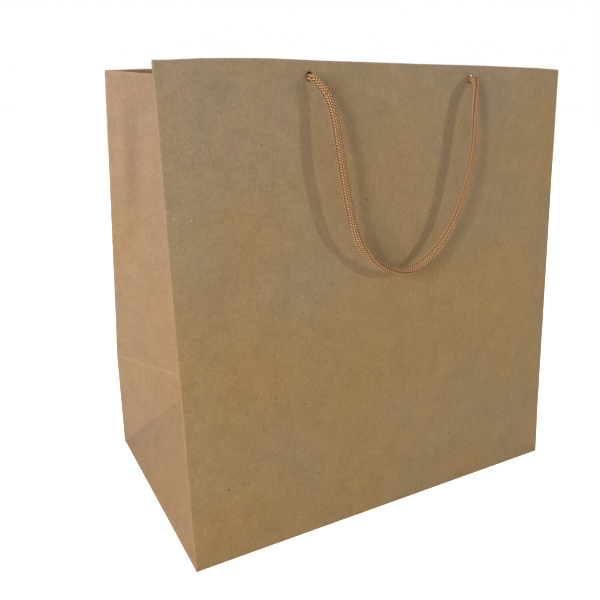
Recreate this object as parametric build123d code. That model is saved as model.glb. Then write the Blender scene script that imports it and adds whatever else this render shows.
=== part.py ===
from build123d import *
import os
import math

# Kraft paper gift bag with a rectangular block bottom, bellows sides and two
# braided cord handles. Millimetres, +Z up, front of the bag towards -Y.
# Origin: middle of the footprint, on the surface that the bag stands on.
# The bag is one folded sheet: each panel between two creases is its own solid,
# with a small gap where the crease is.

# ---------------------------------------------------------------- dimensions
bag_w = 300.0          # width of the front and back panels
bag_d = 178.0          # depth of the bottom, and width of each side gusset
bag_h = 303.0          # height of the panels, measured along the paper
paper_t = 0.3          # kraft paper
crease_h = 80.0        # height of the crease across the back and the gussets
front_lean = 4.87      # the front panel leans inwards from its bottom fold (degrees)
back_lean = 11.07      # the back panel leans inwards above its crease (degrees)
fold_in_low = 42.0     # how far the gusset's centre crease is pushed in at its lower end
fold_low_y = 96.0      # ... and its distance behind the front bottom fold
fold_in_top = 70.3     # how far it is pushed in at the rim
fold_top_y = 80.4
fold_top_z = 292.7
hem_h = 38.0           # depth of the turned-in rim
card_t = 0.8           # reinforcement card inside the rim
card_h = 34.0
rim_half = 147.0       # half length of the rim's card and hem
flap_in = 80.0         # how far a side flap reaches in under the base board
flap_over = 18.0       # how far each main bottom flap reaches past the middle
board_w, board_d, board_t = 292.0, 168.0, 1.0
seam_w = 13.0          # glued side seam tab
hole_r = 3.0           # punched handle holes
hole_x = (-57.7, 66.0)
hole_drop = 7.4        # below the rim
cord_r = 2.2           # the flat braided cord (6 x 3) as a round tube of the same section
stub_r = 1.9           # the cord squeezed through its hole
bend_out = 5.0         # where the cord turns down, in front of the panel
ball_r = 2.3
knot_r = 6.0
gap = 0.4              # half of the gap left at a crease

hw, hd = bag_w / 2, bag_d / 2
hole_v = bag_h - hole_drop
back_h = bag_h - crease_h
sa, ca = math.sin(math.radians(front_lean)), math.cos(math.radians(front_lean))
sb, cb = math.sin(math.radians(back_lean)), math.cos(math.radians(back_lean))

os.makedirs("parts", exist_ok=True)
nodes = {}


def add(name, shape):
    nodes[name] = shape


# ------------------------------------------------------------- panel frames
# In a panel's own frame X runs across, Z runs up the paper and Y = 0 is its
# outer face. The front panel's inside is +Y, and the back panel's is -Y.
front_frame = Location((0, -hd, 0), (-front_lean, 0, 0))
back_frame = Location((0, hd, crease_h), (back_lean, 0, 0))


def slab(x0, x1, y0, y1, z0, z1):
    return Pos((x0 + x1) / 2, (y0 + y1) / 2, (z0 + z1) / 2) * Box(
        x1 - x0, y1 - y0, z1 - z0
    )


def punched(body, v):
    for x in hole_x:
        body -= Pos(x, 0, v) * Rot(90, 0, 0) * Cylinder(hole_r, 20)
    return body


def rim_parts(top, v, side):
    """Card and turned-in hem of one panel. side is +1 where the inside is +Y."""

    def y(a, b):
        return (a, b) if side > 0 else (-b, -a)

    y0, y1 = y(paper_t + 0.05, paper_t + 0.05 + card_t)
    card = slab(-rim_half, rim_half, y0, y1, top - card_h, top - 0.6)
    inner = paper_t + card_t + 0.1
    y0, y1 = y(inner, inner + paper_t)
    hem = slab(-rim_half, rim_half, y0, y1, top - hem_h, top)
    y0, y1 = y(paper_t + 0.05, inner + 0.05)
    hem += slab(-rim_half, rim_half, y0, y1, top - 0.4, top)
    return punched(card, v), punched(hem, v)


def cord_end(x, v, side):
    """The cord's end: knot inside, straight run through the hole, round end outside."""
    k0 = paper_t * 2 + card_t + 0.2 + knot_r
    with BuildPart() as p:
        with BuildSketch(Plane.XY):
            with BuildLine():
                m1 = knot_r * math.cos(math.radians(135))
                s0 = k0 - math.sqrt(knot_r**2 - stub_r**2)
                b0 = -bend_out + math.sqrt(ball_r**2 - stub_r**2)
                ThreePointArc(
                    (0, -bend_out - ball_r),
                    (ball_r * math.sin(math.radians(60)), -bend_out - ball_r * 0.5),
                    (stub_r, b0),
                )
                Line((stub_r, b0), (stub_r, s0))
                ThreePointArc((stub_r, s0), (knot_r, k0), (0, k0 + knot_r))
                Line((0, k0 + knot_r), (0, -bend_out - ball_r))
            make_face()
        revolve(axis=Axis.Y)
    end = p.part
    end += Pos(0, k0, -9.0) * Cylinder(1.9, 12.0)
    if side < 0:
        end = end.mirror(Plane.XZ)
    return Pos(x, 0, v) * end


# -------------------------------------------------------------- front panel
front_panel = punched(slab(-hw, hw, 0, paper_t, gap, bag_h), hole_v)
front_card, front_hem = rim_parts(bag_h, hole_v, +1)
add("front_panel", front_frame * front_panel)
add("front_rim_card", front_frame * front_card)
add("front_rim_hem", front_frame * front_hem)
for x, word in zip(hole_x, ("left", "right")):
    add(f"front_handle_knot_{word}", front_frame * cord_end(x, hole_v, +1))

# --------------------------------------------------------------- back panel
back_v = hole_v - crease_h
back_panel = punched(slab(-hw, hw, -paper_t, 0, gap, back_h), back_v)
back_card, back_hem = rim_parts(back_h, back_v, -1)
add("back_panel_upper", back_frame * back_panel)
add("back_rim_card", back_frame * back_card)
add("back_rim_hem", back_frame * back_hem)
for x, word in zip(hole_x, ("left", "right")):
    add(f"back_handle_knot_{word}", back_frame * cord_end(x, back_v, -1))
seam_x1 = rim_half
add(
    "side_seam_tab_upper",
    back_frame
    * slab(seam_x1 - seam_w, seam_x1, -2 * paper_t - 0.05, -paper_t - 0.05, 1.0, back_h - hem_h - 2),
)
add("back_panel_lower", slab(-hw, hw, hd - paper_t, hd, gap, crease_h - gap))
add(
    "side_seam_tab_lower",
    slab(seam_x1 - seam_w, seam_x1, hd - 2 * paper_t - 0.05, hd - paper_t - 0.05, 2.2, crease_h - 2),
)


# ------------------------------------------------------------------- bottom
def plate(points, z0, z1):
    face = make_face(Polyline(*points, close=True))
    return Pos(0, 0, z0) * extrude(face, amount=z1 - z0, dir=(0, 0, 1))


t = paper_t
e = hw - 0.8
f = hd - 0.8
mitre = 24.0
add(
    "bottom_flap_back",
    plate([(-e, f), (e, f), (e - mitre, -flap_over), (-e + mitre, -flap_over)], 0, t),
)
add(
    "bottom_flap_front",
    plate([(-e, -f), (e, -f), (e - mitre, flap_over), (-e + mitre, flap_over)], t, 2 * t),
)
for side, word in ((-1, "left"), (1, "right")):
    add(
        f"bottom_flap_{word}",
        plate(
            [
                (side * (hw - 0.8), -hd + 1.5),
                (side * (hw - 0.8), hd - 1.5),
                (side * (hw - flap_in), hd - 42),
                (side * (hw - flap_in), -hd + 42),
            ],
            2 * t,
            3 * t,
        ),
    )
add("base_board", slab(-board_w / 2, board_w / 2, -board_d / 2, board_d / 2, 3 * t, 3 * t + board_t))


# ------------------------------------------------------------------ gussets
def sheet_solid(points, triangles, thick, shift=0.0):
    """A closed solid of that thickness about a mesh of triangles.
    shift moves it along its own normals."""
    n = [Vector(0, 0, 0) for _ in points]
    for a, b, c in triangles:
        m = (points[b] - points[a]).cross(points[c] - points[a])
        for i in (a, b, c):
            n[i] = n[i] + m
    n = [v.normalized() for v in n]
    up = [p + v * (shift + thick / 2) for p, v in zip(points, n)]
    down = [p + v * (shift - thick / 2) for p, v in zip(points, n)]
    seen = {}
    for tri in triangles:
        for i in range(3):
            edge = (tri[i], tri[(i + 1) % 3])
            seen[edge] = seen.get(edge, 0) + 1
    rim = [edge for edge in seen if (edge[1], edge[0]) not in seen]

    def tri_face(a, b, c):
        return Face(Wire.make_polygon([a, b, c], close=True))

    faces = [tri_face(up[a], up[b], up[c]) for a, b, c in triangles]
    faces += [tri_face(down[a], down[c], down[b]) for a, b, c in triangles]
    for a, b in rim:
        faces.append(tri_face(up[b], up[a], down[a]))
        faces.append(tri_face(up[b], down[a], down[b]))
    return Solid(Shell(faces))


def lerp(a, b, s):
    return a + (b - a) * s


def strip(outer, inner, shares, rows=None, columns=None):
    """Points and triangles of a ruled sheet between two equally long rows of points.
    rows and columns pick out a part of it."""
    rows = rows or (0, len(outer))
    shares = shares[slice(*(columns or (0, len(shares))))]
    outer, inner = outer[slice(*rows)], inner[slice(*rows)]
    points, triangles = [], []
    m = len(shares)
    for a, b in zip(outer, inner):
        points += [lerp(a, b, u) for u in shares]
    for r in range(len(outer) - 1):
        for k in range(m - 1):
            i = r * m + k
            triangles += [(i, i + 1, i + m + 1), (i, i + m + 1, i + m)]
    return points, triangles


def trimmed(a, b, d0, d1):
    """The ends of the line a-b, with d0 and d1 cut off."""
    d = (b - a).normalized()
    return a + d * d0, b - d * d1


def inset(tri, d):
    """A triangle's corners moved in so that each edge moves by d."""
    a, b, c = tri
    la, lb, lc = (b - c).length, (c - a).length, (a - b).length
    centre = (a * la + b * lb + c * lc) * (1 / (la + lb + lc))
    r = (b - a).cross(c - a).length / (la + lb + lc)
    return [centre + (p - centre) * (1 - d / r) for p in tri]


for side, word in ((-1, "left"), (1, "right")):

    def at(inward, y, z):
        return Vector(side * (hw - inward), y - hd, z)

    A = at(0, 0, 0)                                   # front bottom corner
    B = at(0, bag_d, 0)                               # back bottom corner
    D = at(0, bag_h * sa, bag_h * ca)                 # front rim corner
    E = at(0, bag_d - back_h * sb, crease_h + back_h * cb)  # back rim corner
    Q = at(0, bag_d, crease_h)                        # back corner at the crease
    P = at(fold_in_low, fold_low_y, crease_h)         # centre crease, lower end
    T = at(fold_in_top, fold_top_y, fold_top_z)       # centre crease, rim

    # the triangle that stands on the side flap's fold, and the one beside it at the back
    low = inset([A, B, P], 0.5)
    lift = Vector(0, 0, max(0.0, 1.1 - min(low[0].Z, low[1].Z)))
    low = [low[0] + lift, low[1] + lift, low[2]]
    add(f"{word}_gusset_base_triangle", sheet_solid(low, [(0, 1, 2)], t))
    add(f"{word}_gusset_back_triangle", sheet_solid(inset([B, Q, P], 0.5), [(0, 1, 2)], t))

    # front half: one face from the front fold to the diagonal and the centre crease
    inside = -side  # which way the inside of the bag is, along the sheets' normals
    shares = [0.0, 0.06, 0.35, 0.65, 0.97, 1.0]
    rows = [3.0, 20.0, 40.0, 60.0, 81.0, 125.0, 170.0, 215.0, bag_h - hem_h, bag_h]
    outer, inner = [], []
    for v in rows:
        a = lerp(A, D, v / bag_h)
        b = lerp(A, P, v / 81.0) if v <= 81.0 else lerp(P, T, (v - 81.0) / (bag_h - 81.0))
        a, b = trimmed(a, b, 0.9, 0.5)
        outer.append(a)
        inner.append(b)
    add(f"{word}_gusset_front_half", sheet_solid(*strip(outer, inner, shares), t))
    p, tri = strip(outer, inner, shares, (-2, None), (1, 5))
    add(f"{word}_rim_hem_front", sheet_solid(p, tri, t, shift=inside * (t + 0.1)))

    # rear half above the crease
    shares = [0.0, 0.03, 0.35, 0.65, 0.94, 1.0]
    rows = [0.6, 45.0, 90.0, 135.0, back_h - hem_h, back_h]
    outer, inner = [], []
    for v in rows:
        a = lerp(Q, E, v / back_h)
        b = lerp(P, T, v / back_h)
        a, b = trimmed(a, b, 0.9, 0.5)
        outer.append(a)
        inner.append(b)
    add(f"{word}_gusset_back_half", sheet_solid(*strip(inner, outer, shares), t))
    p, tri = strip(inner, outer, shares, (-2, None), (1, 5))
    add(f"{word}_rim_hem_back", sheet_solid(p, tri, t, shift=inside * (t + 0.1)))

# ------------------------------------------------------------ cord handles
# Control points of the hanging loop: across, up the paper, distance in front of
# the panel's outer face. The loop starts and ends at the bends beside the holes.
route = [
    (-48.6, 281.4, 9.6),
    (-45.8, 252.0, 12.4),
    (-40.8, 222.6, 12.3),
    (-33.5, 196.3, 10.2),
    (-11.1, 175.6, 7.6),
    (16.8, 172.5, 7.6),
    (41.2, 195.2, 9.0),
    (52.9, 221.3, 10.8),
    (59.9, 250.0, 11.6),
    (60.7, 279.0, 9.2),
]


def loop(points, to_row):
    """The hanging cord from bend to bend, as straight runs joined by tangent arcs."""
    world = [to_row(*p) for p in points]
    runs = [(b - a).length for a, b in zip(world, world[1:])]
    radii, turns = [], []
    for i in range(1, len(world) - 1):
        turn = (world[i] - world[i - 1]).get_angle(world[i + 1] - world[i])
        turns.append(turn)
        radii.append(0.45 * min(runs[i - 1], runs[i]) / math.tan(math.radians(turn) / 2))
    path = FilletPolyline(*world, radius=radii)
    tube = sweep(Plane(origin=path @ 0, z_dir=path % 0) * Circle(cord_r), path=path)
    print(
        "cord: runs", [round(r, 1) for r in runs], "turns", [round(x) for x in turns],
        "radii", [round(r, 1) for r in radii], "length", round(path.length, 1),
        "volume ratio", round(tube.volume / (math.pi * cord_r**2 * path.length), 4),
    )
    return tube


def ends(x_first, x_last, mirrored):
    """The route with its two ends, 3 mm from the bends' centres."""
    pts = [Vector(*p) for p in route]
    if mirrored:
        pts = [Vector(hole_x[0] + hole_x[1] - p.X, p.Y, p.Z) for p in pts][::-1]
    first, last = Vector(hole_x[0], hole_v, bend_out), Vector(hole_x[1], hole_v, bend_out)
    a = first + (pts[0] - first).normalized() * 3.0
    b = last + (pts[-1] - last).normalized() * 3.0
    return [(p.X, p.Y, p.Z) for p in [a, *pts, b]]


def front_row(x, v, s):
    return Vector(x, -hd + v * sa - s * ca, v * ca + s * sa)


def back_row(x, v, s):
    v -= crease_h
    return Vector(x, hd - v * sb + s * cb, crease_h + v * cb + s * sb)


add("front_handle_cord", loop(ends(*hole_x, False), front_row))
add("back_handle_cord", loop(ends(*hole_x, True), back_row))
print("bend centres", front_row(0, hole_v, bend_out), back_row(0, hole_v, bend_out))

for name, shape in nodes.items():
    export_step(shape, f"parts/{name}.step")
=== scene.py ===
import math

import bpy
import numpy as np
from mathutils import Matrix, Vector, noise

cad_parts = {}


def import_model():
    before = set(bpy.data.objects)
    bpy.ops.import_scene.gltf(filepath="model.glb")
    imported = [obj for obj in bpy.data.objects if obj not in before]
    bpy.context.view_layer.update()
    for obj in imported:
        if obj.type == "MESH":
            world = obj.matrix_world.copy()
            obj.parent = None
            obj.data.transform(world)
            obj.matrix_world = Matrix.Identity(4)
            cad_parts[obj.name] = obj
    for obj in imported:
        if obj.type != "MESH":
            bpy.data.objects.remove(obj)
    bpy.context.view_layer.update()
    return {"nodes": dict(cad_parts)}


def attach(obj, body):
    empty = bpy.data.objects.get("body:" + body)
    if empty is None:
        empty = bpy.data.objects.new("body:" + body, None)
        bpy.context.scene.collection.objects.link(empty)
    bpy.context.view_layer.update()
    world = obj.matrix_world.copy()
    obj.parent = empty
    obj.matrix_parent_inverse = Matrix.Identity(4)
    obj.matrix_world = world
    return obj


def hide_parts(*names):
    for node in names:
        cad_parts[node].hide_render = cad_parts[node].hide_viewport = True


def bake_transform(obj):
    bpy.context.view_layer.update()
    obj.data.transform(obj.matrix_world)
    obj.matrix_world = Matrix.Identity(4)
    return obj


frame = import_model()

scene = bpy.context.scene
MM = 0.001


def link(o):
    scene.collection.objects.link(o)
    return o


# ---------------------------------------------------------------- camera
cam_data = bpy.data.cameras.new("camera")
cam_data.lens = 38.3472
cam_data.sensor_width = 36.0
cam_data.clip_start = 0.01
cam = link(bpy.data.objects.new("camera", cam_data))
cr = (0.8773021529, -0.4798967674, 0.0063265407)
cu = (0.1473581131, 0.2818847068, 0.9480646595)
cf = (0.4567565205, 0.8308068997, -0.3180147423)
cp = (-0.2505917436, -0.4044727529, 0.2896895202)
cam.matrix_world = Matrix(
    [[cr[i], cu[i], -cf[i], cp[i]] for i in range(3)] + [[0, 0, 0, 1]]
)
scene.camera = cam

# ---------------------------------------------------------------- the bag's own sizes, mm
HW, HD, H = 150.0, 89.0, 303.0
CREASE = 80.0
T = 0.3
SA, CA = math.sin(math.radians(4.87)), math.cos(math.radians(4.87))
SB, CB = math.sin(math.radians(11.07)), math.cos(math.radians(11.07))
R = 0.7                # radius of a fold's outside
HOLE_X = (-57.7, 66.0)
HOLE_V = 295.6
HOLE_R = 2.6
HEM = 38.0
HEM_D = 1.5            # rim: panel, card and hem together
HEM_G = 0.7            # rim of a gusset: two layers


def smooth(t):
    t = np.clip(t, 0, 1)
    return t * t * (3 - 2 * t)


def soft(x, y, size, seed):
    """Smooth noise, about -1 to 1, with features of that size in mm."""
    x, y = np.broadcast_arrays(np.asarray(x, float), np.asarray(y, float))
    flat = [
        noise.noise(Vector((a / size + seed * 3.71, b / size - seed * 1.93, seed)))
        for a, b in zip(x.ravel(), y.ravel())
    ]
    return np.array(flat).reshape(x.shape)


# ---------------------------------------------------------------- shapes of the two panels
RISE_X = (-150, -142, -136, -129, -123, -116, -109, -102, -95, -87, -80, -72, -65, -49, -32, -6, 21, 61, 82, 105, 128, 140, 150)
RISE = (0, .1, .56, .97, 1.35, 1.53, 1.75, 1.93, 2.06, 2.19, 2.19, 2.12, 1.99, 1.77, 1.70, 1.60, 1.38, 1.40, 1.29, 1.01, .73, .36, 0)


def front_out(x, v):
    """How far the front panel stands out of its flat shape."""
    x, v = np.broadcast_arrays(np.asarray(x, float), np.asarray(v, float))
    side = smooth((150 - np.abs(x)) / 34)
    foot = smooth(v / 45)
    calm = 1 - 0.6 * smooth((v - 255) / 25)
    d = (0.75 * soft(x, v, 105, 3.1) + 0.3 * soft(x, v, 44, 7.7) + 0.05 * soft(x, v, 15, 1.3)) * calm
    # under the hanging cord the panel stays out of its way
    d = np.where(d > 0.25, 0.25 + (d - 0.25) * 0.3, d)
    w = (v - 53.0 + (x - 140.0) * (79.0 / 235.0)) * 0.948
    ridge = 1.0 * np.exp(-((w / 24.0) ** 2)) * smooth((x + 120) / 70) * smooth((165 - x) / 60)
    roll = -1.0 * (1 - np.clip((x + 150) / 26, 0, 1)) ** 2 - 0.6 * (1 - np.clip((150 - x) / 22, 0, 1)) ** 2
    return d * side * foot + ridge * side + (roll + 0) * foot * smooth((310 - v) / 40 + 0.4)


def back_out(x, v):
    """The same for the back panel's upper part, v from the floor."""
    x, v = np.broadcast_arrays(np.asarray(x, float), np.asarray(v, float))
    side = smooth((150 - np.abs(x)) / 34)
    foot = smooth((v - CREASE) / 35)
    calm = 1 - 0.6 * smooth((v - 255) / 25)
    d = (0.8 * soft(x, v, 98, 13.1) + 0.3 * soft(x, v, 41, 17.7) + 0.05 * soft(x, v, 15, 11.3)) * calm
    d = np.where(d > 0.25, 0.25 + (d - 0.25) * 0.3, d)
    roll = -0.7 * (1 - np.clip((150 - np.abs(x)) / 24, 0, 1)) ** 2
    return d * side * foot + roll * foot * smooth((310 - v) / 40 + 0.4)


def rim_rise(x, v, flip=1.0):
    return np.interp(np.asarray(x) * flip, RISE_X, RISE) * smooth((v - 295.8) / 6.5)


def front(x, v, s):
    """A point across, up the paper and outside of the front panel's outer face, in the row frame, mm."""
    x, v, s = np.broadcast_arrays(*(np.asarray(k, float) for k in (x, v, s)))
    vv = v + rim_rise(x, v)
    ss = s + front_out(x, v)
    return np.stack([x, -HD + vv * SA - ss * CA, vv * CA + ss * SA], -1)


def back(x, v, s):
    x, v, s = np.broadcast_arrays(*(np.asarray(k, float) for k in (x, v, s)))
    vv = v + 0.8 * rim_rise(x, v) - CREASE
    ss = s + back_out(x, v)
    return np.stack([x, HD - vv * SB + ss * CB, CREASE + vv * CB + ss * SB], -1)


def low_back(x, z, s):
    x, z, s = np.broadcast_arrays(*(np.asarray(k, float) for k in (x, z, s)))
    d = 0.5 * soft(x, z, 80, 23.0) * smooth((150 - np.abs(x)) / 30) * smooth(z / 25) * smooth((CREASE - z) / 25)
    return np.stack([x, HD + s + d, z], -1)


# ---------------------------------------------------------------- gusset corners
def g(inward, y, z):
    return np.array((inward, y, z), float)


GA, GB, GQ = g(0, 0, 0), g(0, 178, 0), g(0, 178, 80)
GD = g(0, H * SA, H * CA)
GE = g(0, 178 - 223 * SB, 80 + 223 * CB)
GP, GT = g(42, 96, 80), g(70.3, 80.4, 292.7)


def turn_front(v):
    """The angle that the paper turns through at the fold between front panel and gusset."""
    v = np.asarray(v, float)
    o = GA + (GD - GA) * (v[..., None] / H)
    lo = GA + (GP - GA) * (v[..., None] / 81.0)
    hi = GP + (GT - GP) * ((v[..., None] - 81.0) / (H - 81.0))
    i = np.where(v[..., None] <= 81.0, lo, hi)
    d = i - o
    d = np.where(v[..., None] < 0.5, np.array((0.5185, 1.10, -0.009)), d)
    return np.pi / 2 + np.arctan2(d[..., 0], d[..., 1])


def turn_back(v):
    """The same at the back fold, v from the floor."""
    v = np.maximum(np.asarray(v, float), CREASE)
    k = ((v - CREASE) / 223.0)[..., None]
    d = (GP + (GT - GP) * k) - (GQ + (GE - GQ) * k)
    return np.pi / 2 + np.arctan2(d[..., 0], -d[..., 1])


def rolled(a, turn):
    """x and s of a panel's outer skin; beyond 149.3 it rolls round the side fold."""
    a = np.asarray(a, float)
    k = np.clip(np.abs(a) - (HW - R), 0, 1)
    x = np.sign(a) * np.where(k > 0, HW - R + R * np.sin(k * turn), np.abs(a))
    s = np.where(k > 0, -R + R * np.cos(k * turn), 0)
    return x, s


# ---------------------------------------------------------------- mesh tools
def normals(P, F):
    N = np.zeros_like(P)
    for f in F:
        p = P[list(f)]
        c = np.zeros(3)
        for k in range(1, len(f) - 1):
            c += np.cross(p[k] - p[0], p[k + 1] - p[0])
        for i in f:
            N[i] += c
    return N / np.maximum(np.linalg.norm(N, axis=1, keepdims=True), 1e-12)


def thick(P, F, t=T):
    """A closed sheet: P and F are its outer skin, t its thickness on the inside."""
    N = normals(P, F)
    n = len(P)
    out = [tuple(f) for f in F] + [tuple(n + i for i in reversed(f)) for f in F]
    seen = set()
    for f in F:
        for k in range(len(f)):
            seen.add((f[k], f[(k + 1) % len(f)]))
    for a, b in seen:
        if (b, a) not in seen:
            out.append((b, a, a + n, b + n))
    return np.vstack([P, P - N * t]), out


def piece(name, P, F, mat, wear_and_highlight=None, sharp=38.0):
    me = bpy.data.meshes.new(name)
    me.from_pydata((np.asarray(P) * MM).tolist(), [], [tuple(int(i) for i in f) for f in F])
    me.validate()
    # a pale mark along folds and rims, partly rubbed fibres and partly painted highlight
    if wear_and_highlight is not None:
        at = me.attributes.new("wear_and_highlight", "FLOAT", "POINT")
        at.data.foreach_set("value", np.asarray(wear_and_highlight, np.float32))
    me.materials.append(mat)
    me.polygons.foreach_set("use_smooth", [True] * len(me.polygons))
    if sharp:
        me.set_sharp_from_angle(angle=math.radians(sharp))
    me.update()
    return link(bpy.data.objects.new(name, me))


def spaced(a, b, step, lead=(0.0, 0.5, 1.2, 2.4, 4.6)):
    """Positions from a to b, closer together at both ends."""
    inner = np.linspace(a + lead[-1] + step, b - lead[-1] - step, max(2, int(round((b - a - 2 * lead[-1] - 2 * step) / step)) + 1))
    return np.concatenate([[a + k for k in lead], inner, [b - k for k in reversed(lead)]])


def grid(us, vs, holes=(), flip=False):
    """Parameters and faces of a grid, with round holes (u, v, radius) cut into it."""
    nu, nv = len(us), len(vs)
    keep = {}
    par = []
    blocks = []
    for cu_, cv_, r_ in holes:
        i0 = max(i for i in range(nu) if us[i] <= cu_ - r_ - 3.2)
        i1 = min(i for i in range(nu) if us[i] >= cu_ + r_ + 3.2)
        j0 = max(j for j in range(nv) if vs[j] <= cv_ - r_ - 2.0)
        j1 = min(j for j in range(nv) if vs[j] >= cv_ + r_ + 1.2)
        blocks.append((i0, i1, j0, j1, cu_, cv_, r_))
    for j in range(nv):
        for i in range(nu):
            if any(b[0] < i < b[1] and b[2] < j < b[3] for b in blocks):
                continue
            keep[i, j] = len(par)
            par.append((us[i], vs[j]))
    faces = []
    for j in range(nv - 1):
        for i in range(nu - 1):
            if any(b[0] <= i < b[1] and b[2] <= j < b[3] for b in blocks):
                continue
            faces.append((keep[i, j], keep[i + 1, j], keep[i + 1, j + 1], keep[i, j + 1]))
    for i0, i1, j0, j1, cx, cy, r_ in blocks:
        ring = (
            [(i, j0) for i in range(i0, i1)] + [(i1, j) for j in range(j0, j1)]
            + [(i, j1) for i in range(i1, i0, -1)] + [(i0, j) for j in range(j1, j0, -1)]
        )
        ring = [keep[k] for k in ring]
        # layer by layer, the ring's points move to even angles round the hole, so that the hole is round
        dense, extra = [], []
        outer = ring
        m = len(ring)
        prev = ring
        base = np.array([par[k] for k in ring])
        ang = np.arctan2(base[:, 1] - cy, base[:, 0] - cx)
        ang = np.unwrap(ang)
        even = ang[0] + np.linspace(0, 2 * np.pi, m, endpoint=False)
        layers = 5
        for L in range(1, layers + 1):
            k = L / layers
            now = []
            for q in range(m):
                a = ang[q] * (1 - k) + even[q] * k
                tip = np.array((cx + r_ * math.cos(a), cy + r_ * math.sin(a)))
                p = base[q] * (1 - k ** 0.75) + tip * k ** 0.75
                now.append(len(par))
                par.append((p[0], p[1]))
            for q in range(m):
                w = (q + 1) % m
                faces.append((prev[q], prev[w], now[w], now[q]))
            prev = now
    if flip:
        faces = [tuple(reversed(f)) for f in faces]
    return np.array(par), faces


# ---------------------------------------------------------------- materials
def srgb(r, g_, b):
    def one(c):
        c /= 255.0
        return c / 12.92 if c <= 0.04045 else ((c + 0.055) / 1.055) ** 2.4
    return (one(r), one(g_), one(b), 1.0)


class Tree:
    def __init__(self, name):
        self.mat = bpy.data.materials.new(name)
        self.mat.use_nodes = True
        self.nt = self.mat.node_tree
        self.nt.nodes.clear()
        self.out = self.new("ShaderNodeOutputMaterial")
        self.bsdf = self.new("ShaderNodeBsdfPrincipled")
        self.link(self.bsdf.outputs[0], self.out.inputs[0])

    def new(self, kind, **kw):
        n = self.nt.nodes.new(kind)
        for k, v in kw.items():
            setattr(n, k, v)
        return n

    def link(self, a, b):
        self.nt.links.new(a, b)

    def coords(self, scale=(1, 1, 1), rot=(0, 0, 0)):
        tc = self.new("ShaderNodeTexCoord")
        mp = self.new("ShaderNodeMapping")
        mp.inputs["Scale"].default_value = scale
        mp.inputs["Rotation"].default_value = rot
        self.link(tc.outputs["Object"], mp.inputs["Vector"])
        return mp.outputs[0]

    def noise(self, vec, scale, detail=2.0, rough=0.5, distort=0.0):
        n = self.new("ShaderNodeTexNoise")
        n.inputs["Scale"].default_value = scale
        n.inputs["Detail"].default_value = detail
        n.inputs["Roughness"].default_value = rough
        n.inputs["Distortion"].default_value = distort
        self.link(vec, n.inputs["Vector"])
        return n.outputs[0]

    def ramp(self, fac, stops, mode="LINEAR"):
        n = self.new("ShaderNodeValToRGB")
        n.color_ramp.interpolation = mode
        el = n.color_ramp.elements
        while len(el) < len(stops):
            el.new(0.5)
        for e, (p, c) in zip(el, stops):
            e.position = p
            e.color = c if len(c) == 4 else (c[0], c[0], c[0], 1)
        self.link(fac, n.inputs[0])
        return n.outputs[0]

    def math(self, op, a, b=None, clamp=False):
        n = self.new("ShaderNodeMath", operation=op, use_clamp=clamp)
        for k, v in enumerate((a, b)):
            if v is None:
                continue
            if isinstance(v, (int, float)):
                n.inputs[k].default_value = v
            else:
                self.link(v, n.inputs[k])
        return n.outputs[0]

    def mix(self, fac, a, b, blend="MIX"):
        n = self.new("ShaderNodeMix", data_type="RGBA", blend_type=blend)
        for k, v in ((0, fac), (6, a), (7, b)):
            if isinstance(v, (int, float)):
                n.inputs[k].default_value = v
            elif isinstance(v, tuple):
                n.inputs[k].default_value = v
            else:
                self.link(v, n.inputs[k])
        return n.outputs[2]

    def attribute(self, name):
        n = self.new("ShaderNodeAttribute", attribute_name=name)
        return n.outputs["Fac"]

    def bump(self, height, strength, distance, after=None):
        n = self.new("ShaderNodeBump")
        n.inputs["Strength"].default_value = strength
        n.inputs["Distance"].default_value = distance
        self.link(height, n.inputs["Height"])
        if after is not None:
            self.link(after, n.inputs["Normal"])
        return n.outputs[0]


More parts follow.
